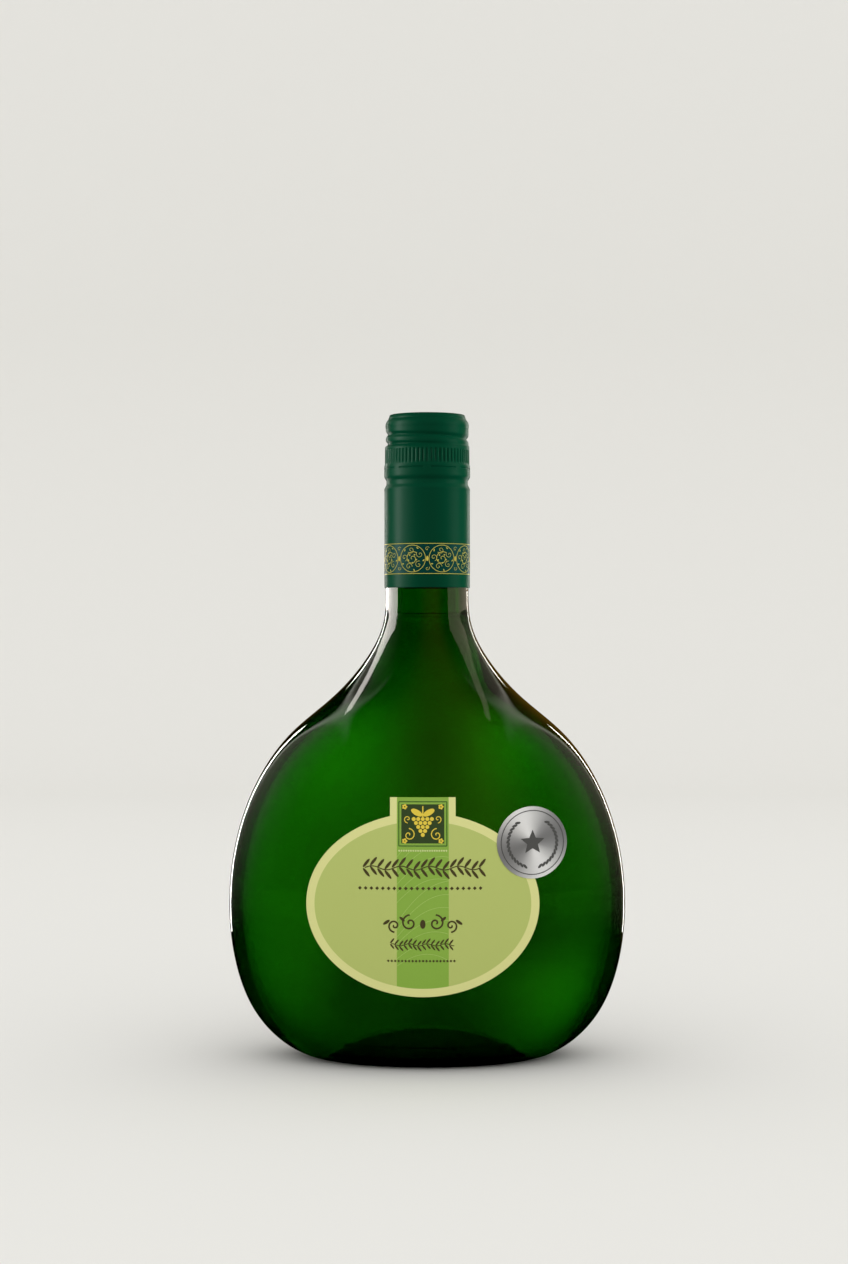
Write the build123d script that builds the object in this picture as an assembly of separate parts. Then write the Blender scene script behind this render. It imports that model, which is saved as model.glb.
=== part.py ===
from build123d import *
from math import hypot, pi, sqrt
import os

# A 0.75 litre Franconian flask bottle of white wine, closed with a long aluminium screw cap.
# Millimetres.  The origin is the middle of the foot, on the surface the bottle stands on.
# +Z points up, the flat front with its label faces -Y, and +X is to the right of the front.

# ---------------------------------------------------------------- flask
# Stations up the flask: half width, half depth and height of one level ellipse each.
STATIONS = [
    (36.5, 23.8, 0.0),      # outer edge of the foot
    (49.3, 31.6, 4.5),      # heel
    (60.2, 36.9, 16.0),
    (66.7, 39.7, 33.0),
    (68.8, 40.3, 54.0),     # widest part of the belly
    (66.1, 39.1, 76.0),
    (58.7, 35.6, 96.0),     # shoulder
    (47.2, 30.0, 112.0),
    (33.3, 23.8, 124.0),    # shoulder turns into the neck
    (21.7, 18.0, 137.0),
    (15.3, 15.0, 150.0),
    (14.4, 14.4, 166.0),    # straight round neck
]
FOOT_SPREAD = (1.0, 0.66, 0.0)   # the heel leaves the foot level, wider than deep
NECK_RISE = (0.0, 0.0, 1.0)
SECTIONS = 36                    # level ellipses lofted into one skin
OUTLINE_STEPS = 400              # points used to read a half width off an offset outline
FLATTEST_RISE = 0.2              # limits how far a gluing gap spreads the flat foot sideways

BODY_WALL = 2.8
NECK_WALL = 4.2
WALL_CHANGE = (120.0, 156.0)     # heights between which the wall thickens into the neck
FLOOR = 4.0                      # height of the cavity's lowest ring
PUNT_DEPTH = 10.0                # push-up in the middle of the foot
PUNT_RIM = 3.2                   # level width of the ring the bottle stands on
PUNT_SINK = 20.0                 # how far the dome's centre lies under the foot
PUNT_GLASS = 4.5                 # glass over the dome
NECK_ROOT = 8.0                  # the straight neck starts this far down inside the flask
NECK_SHY = 0.06                  # and stands this much inside the flask's last ring
LIP_BEVEL = 1.4                  # broken edge of the mouth, inside the cap's rounded corner
STEP_BELOW_GROOVE = 4.0          # where the neck steps in, under the cap's rolled groove
STEP_RISE = 1.5

# ---------------------------------------------------------------- wine
FILL_HEIGHT = 152.2
WINE_GAP = 0.1                   # keeps the wine just clear of the glass

# ---------------------------------------------------------------- screw cap
CAP_TOP = 222.6
CAP_BOTTOM = 162.3
CAP_SHEET = 0.25
CAP_GAP = 0.15                   # between the cap and the glass neck
MOUTH = CAP_TOP - CAP_SHEET - CAP_GAP
SKIRT_RADIUS = 14.88
GROOVE_RADIUS = 14.15            # rolled groove that locks the skirt under the neck ring
RING_RADIUS = 14.95              # tear ring with the perforation
KNURL_RADIUS = 14.7
THREAD_RADIUS = 14.4             # crests of the rolled thread
THREAD_ROOT = 13.87
BEAD_RADIUS = 14.5               # bead around the top
TOP_ROUND = 2.2
GROOVE_HEIGHT = 198.9
GROOVE_FLAT = 1.0                # half height of the groove's floor
GROOVE_SLOPE = 1.1               # height in which the skirt runs down into the groove
RING_SPAN = (200.7, 206.2)
RING_EDGE = 0.2                  # height of the ring's upper edge
KNURL_SPAN = (206.2, 211.5)
THREAD_ROOTS = (213.0, 216.4)
ROOT_FLAT = 0.5                  # half height of a thread root's floor
ROOT_SLOPE = 0.8                 # height in which a root rises to its crest
BEAD_FOOT = 218.1
KNURL_RIBS = 64
KNURL_DEPTH = 0.14
KNURL_CUTTER = 0.3               # radius of the round cutter for one rib's valley
KNURL_MARGIN = 0.4               # plain height at each end of the knurled band
SLOTS = 8                        # cuts of the perforation, with a bridge between each pair
SLOT_HEIGHT = 0.4
SLOT_LEVEL = 204.3
SLOT_REACH = 3.0                 # radial length of the cutter, clear through the sheet
BRIDGE = 2.6                     # length of cap left whole between two cuts

# ---------------------------------------------------------------- label and seal
LABEL_X = -1.5
LABEL_Z = 56.6
LABEL_HALF_WIDTH = 38.9
LABEL_HALF_HEIGHT = 30.5
TAB_WIDTH = 21.8
TAB_TOP = 92.1
PAPER = 0.12
GLUE = 0.03                      # clear gap under the paper and under the foil
SEAL_X = 35.0
SEAL_Z = 76.8
SEAL_DIAMETER = 23.8
SEAL_FOIL = 0.15
CUTTER_REACH = 60.0              # length of the straight cutters that trim the skins


def outline():
    """Curve through the stations: x is the half width, y the half depth, z the height."""
    return Spline(STATIONS, tangents=[FOOT_SPREAD, NECK_RISE], tangent_scalars=[1, 1])


OUTLINE = outline()


def wall_at(height):
    """Glass thickness, growing evenly from the body's wall to the neck's."""
    low, high = WALL_CHANGE
    share = min(max((height - low) / (high - low), 0.0), 1.0)
    return BODY_WALL + share * (NECK_WALL - BODY_WALL)


def offset_outline(side, gap):
    """Heights and half sizes of one outline moved inwards by the wall and a gap, square to itself."""
    pairs = []
    for step in range(OUTLINE_STEPS + 1):
        place = OUTLINE @ (step / OUTLINE_STEPS)
        run = OUTLINE % (step / OUTLINE_STEPS)
        half, spread = (place.X, run.X) if side == "width" else (place.Y, run.Y)
        length = hypot(spread, run.Z)
        move = wall_at(place.Z) + gap
        pairs.append((place.Z + move * spread / length, half - move * run.Z / length))
    return pairs


def read_at(pairs, height):
    """Half size of an offset outline at a height, between its two nearest points."""
    for (z0, h0), (z1, h1) in zip(pairs, pairs[1:]):
        if z0 <= height <= z1:
            return h0 + (h1 - h0) * (height - z0) / max(z1 - z0, 1e-9)
    return pairs[-1][1]


def level_ellipse(half_width, half_depth, height):
    """Face of one level section about the axis; the width is never less than the depth."""
    return Pos(0, 0, height) * Ellipse(max(half_width, half_depth), half_depth)


def body_skin(outwards=0.0):
    """Solid flask out to its skin, moved outwards by a little for what is glued on it."""
    rings = []
    for step in range(SECTIONS + 1):
        place = OUTLINE @ (step / SECTIONS)
        run = OUTLINE % (step / SECTIONS)
        rise = max(run.Z, FLATTEST_RISE)
        half_width = place.X + outwards * sqrt(1 + (run.X / rise) ** 2)
        half_depth = place.Y + outwards * sqrt(1 + (run.Y / rise) ** 2)
        rings.append(level_ellipse(half_width, half_depth, place.Z))
    return loft(rings)


def dome(grow=0.0):
    """Ellipsoid of the push-up, with its centre under the foot; grow thickens it all round."""
    foot_half_width, foot_half_depth, _ = STATIONS[0]
    height = PUNT_DEPTH + PUNT_SINK
    level = sqrt(1 - (PUNT_SINK / height) ** 2)
    half_width = (foot_half_width - PUNT_RIM) / level
    half_depth = (foot_half_depth - PUNT_RIM) / level
    size = (half_width + grow, half_depth + grow, height + grow)
    return Pos(0, 0, -PUNT_SINK) * scale(Sphere(1), by=size)


def inner_body(gap=0.0):
    """Inside of the flask from its floor up to the straight neck, shrunk by a gap."""
    widths = offset_outline("width", gap)
    depths = offset_outline("depth", gap)
    low = FLOOR + gap
    top = STATIONS[-1][2]
    rings = []
    for step in range(SECTIONS + 1):
        height = low + (top - low) * (step / SECTIONS) ** 1.5
        rings.append(level_ellipse(read_at(widths, height), read_at(depths, height), height))
    return loft(rings) - dome(PUNT_GLASS + gap)


def neck_blank():
    """Straight round neck, stepped in near its top to fit inside the cap."""
    radius = STATIONS[-1][0] - NECK_SHY
    finish = THREAD_ROOT - CAP_SHEET - CAP_GAP
    step_down = GROOVE_HEIGHT - STEP_BELOW_GROOVE
    profile = Polyline(
        (0, STATIONS[-1][2] - NECK_ROOT),
        (radius, STATIONS[-1][2] - NECK_ROOT),
        (radius, step_down),
        (finish, step_down + STEP_RISE),
        (finish, MOUTH - LIP_BEVEL),
        (finish - LIP_BEVEL, MOUTH),
        (0, MOUTH),
        close=True,
    )
    return revolve(Plane.XZ * make_face(profile), Axis.Z)


def bore():
    """Straight hole down the neck, running into the flask's inside."""
    radius = STATIONS[-1][0] - NECK_WALL - NECK_SHY
    low = STATIONS[-1][2] - NECK_ROOT
    return Pos(0, 0, (low + MOUTH + LIP_BEVEL) / 2) * Cylinder(radius, MOUTH + LIP_BEVEL - low)


def bottle_glass():
    """Hollow green glass bottle with a push-up and a plain neck finish under the cap."""
    return body_skin() + neck_blank() - inner_body() - bore() - dome()


def wine():
    """All the wine, up to its level in the neck."""
    return split(inner_body(WINE_GAP), Plane.XY.offset(FILL_HEIGHT), keep=Keep.BOTTOM)


def cap_outline(inwards):
    """Half outline of the cap, from the axis at the top down to the skirt's lower edge."""
    low, high = RING_SPAN
    knurl_low, knurl_high = KNURL_SPAN
    groove_low, groove_high = GROOVE_HEIGHT - GROOVE_FLAT, GROOVE_HEIGHT + GROOVE_FLAT
    points = [(SKIRT_RADIUS, CAP_BOTTOM), (SKIRT_RADIUS, groove_low - GROOVE_SLOPE)]
    points += [(GROOVE_RADIUS, groove_low), (GROOVE_RADIUS, groove_high)]
    points += [(RING_RADIUS, low), (RING_RADIUS, high - RING_EDGE)]
    points += [(KNURL_RADIUS, knurl_low), (KNURL_RADIUS, knurl_high)]
    for root in THREAD_ROOTS:
        points += [(THREAD_ROOT, root - ROOT_FLAT), (THREAD_ROOT, root + ROOT_FLAT)]
        points += [(THREAD_RADIUS, root + ROOT_FLAT + ROOT_SLOPE)]
    points += [(BEAD_RADIUS, BEAD_FOOT), (BEAD_RADIUS, CAP_TOP - TOP_ROUND)]
    points = [(radius - inwards, height) for radius, height in points]
    edge = points[-1][0]
    round_start = (edge, CAP_TOP - TOP_ROUND)
    round_size = TOP_ROUND - inwards
    flat_start = (edge - round_size, CAP_TOP - inwards)
    side = Polyline(*points)
    corner = RadiusArc(round_start, flat_start, -round_size)
    lid = Polyline(flat_start, (0, CAP_TOP - inwards), (0, CAP_BOTTOM), points[0])
    return Plane.XZ * make_face(Wire(side.edges() + corner.edges() + lid.edges()))


def screw_cap():
    """Thin rolled shell with a grooved skirt, a tear ring, a knurled band and a thread."""
    shell = revolve(cap_outline(0.0), Axis.Z) - revolve(cap_outline(CAP_SHEET), Axis.Z)
    knurl_low, knurl_high = KNURL_SPAN
    groove = Cylinder(KNURL_CUTTER, knurl_high - knurl_low - 2 * KNURL_MARGIN)
    reach = KNURL_RADIUS + KNURL_CUTTER - KNURL_DEPTH
    middle = (knurl_low + knurl_high) / 2
    shell -= Pos(0, 0, middle) * PolarLocations(reach, KNURL_RIBS) * groove
    turn = 360 / SLOTS
    bridge_turn = BRIDGE / (2 * pi * RING_RADIUS) * 360
    sector = Plane.XZ * Pos(RING_RADIUS, SLOT_LEVEL) * Rectangle(SLOT_REACH, SLOT_HEIGHT)
    slot = revolve(sector, Axis.Z, turn - bridge_turn)
    return shell - [Rot(0, 0, turn * number) * slot for number in range(SLOTS)]


def front_label():
    """Oval paper label with an upright tab, lying on the flask's front."""
    oval = Pos(LABEL_X, LABEL_Z) * Ellipse(LABEL_HALF_WIDTH, LABEL_HALF_HEIGHT)
    tab = Pos(LABEL_X, (LABEL_Z + TAB_TOP) / 2) * Rectangle(TAB_WIDTH, TAB_TOP - LABEL_Z)
    cutter = extrude(Plane.XZ * (oval + tab), CUTTER_REACH)
    return (body_skin(GLUE + PAPER) & cutter) - body_skin(GLUE)


def award_seal():
    """Round foil seal that lies over the label's upper right edge."""
    under = GLUE + PAPER + GLUE
    cutter = extrude(Plane.XZ * Pos(SEAL_X, SEAL_Z) * Circle(SEAL_DIAMETER / 2), CUTTER_REACH)
    return (body_skin(under + SEAL_FOIL) & cutter) - body_skin(under)


os.makedirs("parts", exist_ok=True)
export_step(bottle_glass(), "parts/bottle_glass.step")
export_step(wine(), "parts/wine.step")
export_step(screw_cap(), "parts/screw_cap.step")
export_step(front_label(), "parts/front_label.step")
export_step(award_seal(), "parts/award_seal.step")
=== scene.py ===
# %% [markdown]
# # A flask bottle of white wine
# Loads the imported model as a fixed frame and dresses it: bottle-green glass with wine in it,
# a lacquered screw cap with a gold foil band, a printed paper label and an embossed foil seal.

# %% Load the frame
import bpy
import numpy as np
from mathutils import Matrix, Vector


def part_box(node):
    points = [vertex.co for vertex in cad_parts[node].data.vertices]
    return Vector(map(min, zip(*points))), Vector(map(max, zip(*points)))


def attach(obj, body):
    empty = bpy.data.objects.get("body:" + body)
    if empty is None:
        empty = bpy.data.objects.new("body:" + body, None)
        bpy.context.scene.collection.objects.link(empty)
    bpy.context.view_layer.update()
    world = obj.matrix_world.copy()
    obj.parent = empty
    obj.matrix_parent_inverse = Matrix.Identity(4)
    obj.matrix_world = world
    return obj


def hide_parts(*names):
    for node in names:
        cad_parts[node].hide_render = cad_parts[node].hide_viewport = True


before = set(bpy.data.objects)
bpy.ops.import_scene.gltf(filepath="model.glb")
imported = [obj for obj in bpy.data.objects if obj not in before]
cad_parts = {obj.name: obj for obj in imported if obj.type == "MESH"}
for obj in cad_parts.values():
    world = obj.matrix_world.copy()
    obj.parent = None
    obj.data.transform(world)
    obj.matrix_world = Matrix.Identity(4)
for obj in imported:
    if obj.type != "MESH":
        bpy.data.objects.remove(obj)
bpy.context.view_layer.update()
MM = 0.001

# %% [markdown]
# ## The flask's outline
# Every level cut of the flask is an ellipse. One smooth curve through a few stations gives its
# half width, its half depth and its height, and each surface below is worked out from it.

# %% Stations and the curve through them
STATIONS = np.array([
    (36.5, 23.8, 0.0),
    (49.3, 31.6, 4.5),
    (60.2, 36.9, 16.0),
    (66.7, 39.7, 33.0),
    (68.8, 40.3, 54.0),
    (66.1, 39.1, 76.0),
    (58.7, 35.6, 96.0),
    (47.2, 30.0, 112.0),
    (33.3, 23.8, 124.0),
    (21.7, 18.0, 137.0),
    (15.3, 15.0, 150.0),
    (14.4, 14.4, 166.0),
])


def smooth_curve(points, start, end, count):
    """Cubic spline through the points, with unit slopes start and end: places and slopes.

    Between two points it is the Hermite cubic, and the slopes m at the points solve
    m0/h0 + 2 (1/h0 + 1/h1) m1 + m2/h1 = 3 (d0/h0 + d1/h1), where d are the chords' slopes.
    """
    steps = np.linalg.norm(np.diff(points, axis=0), axis=1)
    knots = np.concatenate([[0.0], np.cumsum(steps)])
    chords = np.diff(points, axis=0) / steps[:, None]
    inner = np.arange(1, len(points) - 1)
    matrix = np.eye(len(points))
    matrix[inner, inner - 1] = 1 / steps[:-1]
    matrix[inner, inner] = 2 * (1 / steps[:-1] + 1 / steps[1:])
    matrix[inner, inner + 1] = 1 / steps[1:]
    right = np.zeros_like(points)
    right[inner] = 3 * (chords[:-1] / steps[:-1, None] + chords[1:] / steps[1:, None])
    right[0] = np.asarray(start) / np.linalg.norm(start)
    right[-1] = np.asarray(end) / np.linalg.norm(end)
    slopes = np.linalg.solve(matrix, right)
    at = np.linspace(0, knots[-1], count)
    k = np.clip(np.searchsorted(knots, at, side="right") - 1, 0, len(steps) - 1)
    h = steps[k][:, None]
    t = ((at - knots[k]) / steps[k])[:, None]
    place = (2 * t**3 - 3 * t**2 + 1) * points[k] + (3 * t**2 - 2 * t**3) * points[k + 1]
    place += h * ((t**3 - 2 * t**2 + t) * slopes[k] + (t**3 - t**2) * slopes[k + 1])
    run = (6 * t**2 - 6 * t) * (points[k] - points[k + 1]) / h
    run += (3 * t**2 - 4 * t + 1) * slopes[k] + (3 * t**2 - 2 * t) * slopes[k + 1]
    return place, run


OUTLINE, OUTLINE_RUN = smooth_curve(STATIONS, (1.0, 0.66, 0.0), (0.0, 0.0, 1.0), 190)
print("flask width and depth in mm:", (OUTLINE[:, :2].max(0) * 2).round(1))

# %% [markdown]
# ## Surfaces from rings
# A bottle, its wine and its cap are all stacks of level ellipses. One function turns a list
# of rings into a closed skin, with a pole in the middle of the first and the last ring.

# %% Mesh helpers
TURN = 192


def add_mesh(name, points, faces):
    """New object from points in millimetres, standing at the origin with its sizes in its mesh."""
    mesh = bpy.data.meshes.new(name)
    mesh.from_pydata((points * MM).tolist(), [], faces)
    mesh.validate()
    mesh.shade_smooth()
    piece = bpy.data.objects.new(name, mesh)
    bpy.context.scene.collection.objects.link(piece)
    return piece


def grid_faces(rows, columns, closed=False, start=0):
    """Quads between neighbouring rows; closed also joins the last column to the first."""
    spans = columns if closed else columns - 1
    r, c = np.meshgrid(np.arange(rows - 1), np.arange(spans), indexing="ij")
    after = (c + 1) % columns
    quads = [r * columns + c, r * columns + after, (r + 1) * columns + after, (r + 1) * columns + c]
    return (np.stack(quads, -1).reshape(-1, 4) + start).tolist()


def ring_skin(name, half_width, half_depth, height, turn=TURN):
    """Skin through level rings: x = half_width cos(a), y = half_depth sin(a), z = height.

    Each size is one value a ring, or one value for each ring and angle.
    """
    angle = np.arange(turn) / turn * 2 * np.pi
    width, depth, level = (np.reshape(v, (len(v), -1)) for v in (half_width, half_depth, height))
    rings = np.stack(np.broadcast_arrays(width * np.cos(angle), depth * np.sin(angle), level), -1)
    rows = len(rings)
    middles = rings[[0, -1]].mean(1)
    ring = np.arange(turn)
    after = (ring + 1) % turn
    first = np.stack([np.full(turn, rows * turn), after, ring], -1).tolist()
    top = (rows - 1) * turn
    last = np.stack([np.full(turn, rows * turn + 1), top + ring, top + after], -1).tolist()
    points = np.concatenate([rings.reshape(-1, 3), middles])
    return add_mesh(name, points, grid_faces(rows, turn, closed=True) + first + last)


# %% [markdown]
# ## Finishes
# Colours are written as they look on a screen and made linear by one function. A small helper
# adds a node with its settings and links, so that each material reads as a short list.

# %% Material helpers
def linear(hex_colour):
    """Linear colour of a screen colour such as 'A0B040': ((c + 0.055) / 1.055) ** 2.4."""
    screen = np.array([int(hex_colour[k:k + 2], 16) for k in (0, 2, 4)]) / 255
    return tuple(np.where(screen <= 0.04045, screen / 12.92, ((screen + 0.055) / 1.055) ** 2.4)) + (1.0,)


def add_node(tree, kind, settings=None, inputs=None):
    """One node of a tree; an input is a plain value, or an output socket to link."""
    node = tree.nodes.new(kind)
    for name, value in (settings or {}).items():
        setattr(node, name, value)
    for name, value in (inputs or {}).items():
        if isinstance(value, bpy.types.NodeSocket):
            tree.links.new(value, node.inputs[name])
        else:
            node.inputs[name].default_value = value
    return node


def new_material(name, inputs):
    """Material with one Principled shader: the material, its nodes, the shader and the output."""
    material = bpy.data.materials.new(name)
    material.use_nodes = True
    tree = material.node_tree
    tree.nodes.clear()
    shader = add_node(tree, "ShaderNodeBsdfPrincipled", inputs=inputs)
    out = add_node(tree, "ShaderNodeOutputMaterial", inputs={"Surface": shader.outputs[0]})
    return material, tree, shader, out


def arithmetic(tree, operation, first, second=0.0):
    """Output of one Math node."""
    return add_node(tree, "ShaderNodeMath", {"operation": operation}, {0: first, 1: second}).outputs[0]


def ramp(tree, value, stops):
    """Colour ramp: (position, linear red, green, blue) stops, blended evenly between them."""
    node = add_node(tree, "ShaderNodeValToRGB", inputs={0: value})
    elements = node.color_ramp.elements
    while len(elements) < len(stops):
        elements.new(0.5)
    for element, (position, *colour) in zip(elements, stops):
        element.position, element.color = position, (*colour, 1.0)
    return node.outputs["Color"]


def squared_share(tree, value, half):
    """(|value| / half) ** 2, which is 1 at the edge of a shape that reaches half each way."""
    share = arithmetic(tree, "DIVIDE", arithmetic(tree, "ABSOLUTE", value), half)
    return arithmetic(tree, "POWER", share, 2.0)


def mixed(tree, factor, first, second, kind="MIX"):
    """Colour that goes from the first to the second with the factor, or the two added or multiplied."""
    return add_node(tree, "ShaderNodeMix", {"data_type": "RGBA", "blend_type": kind},
                    {"Factor": factor, "A": first, "B": second}).outputs["Result"]


def clear_material(name, ior, density, colour):
    """Clear body that absorbs density * (1 - colour) per metre in each of red, green, blue."""
    material, tree, shader, out = new_material(name, {
        "Base Color": (1, 1, 1, 1), "Transmission Weight": 1.0, "Roughness": 0.0, "IOR": ior,
    })
    volume = add_node(tree, "ShaderNodeVolumeAbsorption", inputs={"Density": density, "Color": colour})
    tree.links.new(volume.outputs[0], out.inputs["Volume"])
    return material


# %% [markdown]
# ## The glass
# Bottle-green container glass, blown in a mould. Its skin runs from the middle of the push-up,
# over the ring it stands on, up the outside, over the lip, and down the inside to the floor.
# The colour comes from the depth of glass that light crosses, so thick places go black.

# %% Glass
BODY_WALL, NECK_WALL = 2.8, 4.2
WALL_CHANGE = (120.0, 156.0)
PUNT_DEPTH, PUNT_RIM, PUNT_SINK, PUNT_GLASS = 10.0, 3.2, 20.0, 4.5
MOUTH = float(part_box("bottle_glass")[1].z) / MM
LIP_BEVEL = 1.4
STEP_DOWN, STEP_RISE, FINISH_RADIUS = 194.9, 1.5, 13.47
NECK_RING, BORE_RING = 180.0, 190.0
DOME_END, VALLEY, WALL_START = 6.2, 4.4, 7.0


def inset_outline(move):
    """Outline moved inwards by move, square to itself: half width, half depth and two heights."""
    place, run = OUTLINE, OUTLINE_RUN
    across = np.hypot(run[:, 0], run[:, 2])
    along = np.hypot(run[:, 1], run[:, 2])
    width = place[:, 0] - move * run[:, 2] / across
    depth = place[:, 1] - move * run[:, 2] / along
    side_height = place[:, 2] + move * run[:, 0] / across
    front_height = place[:, 2] + move * run[:, 1] / along
    return width, depth, side_height, front_height


def dome_rings(grow, low, count):
    """Rings of the push-up's ellipsoid, from its top down to the height low."""
    height = PUNT_DEPTH + PUNT_SINK
    level = np.sqrt(1 - (PUNT_SINK / height) ** 2)
    tall = height + grow
    wide = (STATIONS[0, 0] - PUNT_RIM) / level + grow
    deep = (STATIONS[0, 1] - PUNT_RIM) / level + grow
    reach = np.arccos((PUNT_SINK + low) / tall)
    lean = np.linspace(0.02, 1, count) * reach
    return np.stack([wide * np.sin(lean), deep * np.sin(lean), tall * np.cos(lean) - PUNT_SINK], 1)


def cavity_rings(grow):
    """Rings of the flask's inside, from the middle of its floor up to the neck, as ring_skin sizes.

    The outline moved in by the wall, with height = side cos(a) ** 2 + front sin(a) ** 2 at the
    angle a, and a rounded valley where the wall meets the dome. grow moves it into the glass.
    """
    wall = np.interp(OUTLINE[:, 2], WALL_CHANGE, (BODY_WALL, NECK_WALL)) - grow
    width, depth, side_height, front_height = inset_outline(wall)
    turn = np.arange(TURN) / TURN * 2 * np.pi
    height = side_height[:, None] * np.cos(turn) ** 2 + front_height[:, None] * np.sin(turn) ** 2
    keep = OUTLINE[:, 2] > WALL_START
    floor = dome_rings(PUNT_GLASS - grow, DOME_END, 24)
    start = np.array([width[keep][0], depth[keep][0], height[keep][0].mean()])
    run = OUTLINE_RUN[keep][0]
    valley = np.array([(floor[-1, 0] + start[0]) / 2, (floor[-1, 1] + start[1]) / 2, VALLEY - grow])
    slope = floor[-1] - floor[-2]
    corner = smooth_curve(np.array([floor[-1], valley, start]), slope, run, 26)[0][1:-1]
    low = np.concatenate([floor, corner])
    high = np.stack([width[keep], depth[keep]], 1)
    sizes = np.concatenate([low[:, :2], high])
    levels = np.concatenate([np.repeat(low[:, 2:], TURN, axis=1), height[keep]])
    return sizes[:, 0], sizes[:, 1], levels


def glass_skin():
    """Closed skin of the glass, outside and inside in one run of rings."""
    punt = dome_rings(0.0, 0.0, 30)
    neck_radius = STATIONS[-1, 0]
    neck = np.array([
        (neck_radius, NECK_RING), (neck_radius, STEP_DOWN), (FINISH_RADIUS, STEP_DOWN + STEP_RISE),
        (FINISH_RADIUS, MOUTH - LIP_BEVEL), (FINISH_RADIUS - LIP_BEVEL, MOUTH),
        (neck_radius - NECK_WALL, MOUTH), (neck_radius - NECK_WALL, BORE_RING),
    ])
    inside = cavity_rings(0.0)
    width = np.concatenate([punt[:, 0], OUTLINE[:, 0], neck[:, 0], inside[0][::-1]])
    depth = np.concatenate([punt[:, 1], OUTLINE[:, 1], neck[:, 0], inside[1][::-1]])
    plain = np.concatenate([punt[:, 2], OUTLINE[:, 2], neck[:, 1]])
    level = np.concatenate([np.repeat(plain[:, None], TURN, axis=1), inside[2][::-1]])
    return ring_skin("bottle_glass_blown", width, depth, level)


GLASS_IOR, GREEN_ABSORPTION = 1.52, 1030.0
GREEN = (0.25, 0.755, 0.0, 1.0)
glass = glass_skin()
glass.data.materials.append(clear_material("bottle green container glass", GLASS_IOR, GREEN_ABSORPTION, GREEN))
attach(glass, "root")
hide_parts("bottle_glass")
print("glass faces:", len(glass.data.polygons))

# %% [markdown]
# ## The wine
# A pale dry wine fills the flask up into its neck. Its skin reaches a little into the wall, so
# that no air shows between them, and its surface climbs where it meets the glass.

# %% Wine
FILL_HEIGHT = float(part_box("wine")[1].z) / MM
INTO_WALL = 0.3
MENISCUS_RISE, MENISCUS_REACH = 1.3, 1.6
WINE_IOR, WINE_ABSORPTION = 1.34, 14.0
STRAW = (0.86, 0.80, 0.10, 1.0)


def wine_skin():
    """Closed skin of the wine: the cavity's rings up to the fill height, then its surface.

    At a distance d from the glass the surface stands rise * exp(-d / reach) above the fill height.
    """
    width, depth, level = cavity_rings(INTO_WALL)
    below = level.max(1) < FILL_HEIGHT
    share = np.linspace(0.0, 1.0, 20) ** 1.5
    radius = width[below][-1]
    surface_radius = radius * (1 - share)
    rise = MENISCUS_RISE * np.exp(-(radius - surface_radius) / MENISCUS_REACH)
    keep = slice(0, -1)
    width = np.concatenate([width[below], surface_radius[keep]])
    depth = np.concatenate([depth[below], (surface_radius * depth[below][-1] / radius)[keep]])
    top = np.repeat((FILL_HEIGHT + rise)[keep, None], TURN, axis=1)
    return ring_skin("wine_fill", width, depth, np.concatenate([level[below], top]))


wine = wine_skin()
wine.data.materials.append(clear_material("pale white wine", WINE_IOR, WINE_ABSORPTION, STRAW))
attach(wine, "root")
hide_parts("wine")
print("wine faces:", len(wine.data.polygons))

# %% [markdown]
# ## The screw cap
# A drawn aluminium shell with a satin dark green lacquer. The thread is rolled in as one helix,
# the knurled band gives grip, and a ring of short cuts lets the skirt stay behind on opening.
# The shell is a stack of rings whose radius dips where a tool has pressed it. The lacquer is
# nearly black and hardly mirrors, so it shows a broad soft sheen and no sharp lights.

# %% Cap
CAP_LOW = float(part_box("screw_cap")[0].z) / MM
CAP_TOP = float(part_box("screw_cap")[1].z) / MM
SHEET = 0.25
SKIRT_RADIUS = 14.88
TOP_ROUND, TOP_SPREAD = 3.9, 6.2
CAP_TURN = 512
THREAD_PITCH, THREAD_TOP, THREAD_DEPTH, THREAD_WIDTH = 3.3, 217.25, 0.72, 0.72
THREAD_LAPS, THREAD_FADE = 1.9, 0.12
KNURL_RIBS, KNURL_DEPTH = 64, 0.30
KNURL_LOW, KNURL_HIGH, KNURL_FADE = 205.3, 210.2, 0.3
SLOTS, SLOT_LEVEL, SLOT_DEPTH, SLOT_HALF = 8, 203.6, 0.30, 0.16
SLOT_START, SLOT_END, SLOT_FADE = 0.10, 0.90, 0.02
CAP_PROFILE = np.array([
    (CAP_LOW, 14.80), (CAP_LOW + 0.4, SKIRT_RADIUS), (195.8, SKIRT_RADIUS), (196.6, 14.98), (197.3, 14.62),
    (198.1, 14.18), (199.5, 14.15), (200.3, 14.70), (200.9, 14.95), (204.6, 14.95), (205.1, 14.74),
    (211.3, 14.70), (211.9, 14.40), (217.6, 14.40), (218.4, 14.52), (CAP_TOP - TOP_ROUND, 14.52),
])
CAP_LID = np.array([(5.0, CAP_TOP - 0.01), (0.4, CAP_TOP - 0.02)])
CAP_INSIDE = np.array([
    (0.4, CAP_TOP - SHEET - 0.03), (13.0, CAP_TOP - SHEET), (13.55, CAP_TOP - 1.6),
    (13.55, 201.0), (13.9, 198.8), (14.6, 195.0), (14.63, CAP_LOW + 0.1),
])


def cap_heights():
    """Heights of the cap's rings: close together where it is shaped, wide apart on its skirt."""
    spans = [(CAP_LOW, CAP_LOW + 0.5, 4), (CAP_LOW + 0.5, 195.0, 8), (195.0, 202.8, 22),
             (202.8, 204.4, 13), (204.4, 210.0, 16), (210.0, CAP_TOP - TOP_ROUND, 62)]
    return np.unique(np.concatenate([np.linspace(low, high, count) for low, high, count in spans]))


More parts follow.
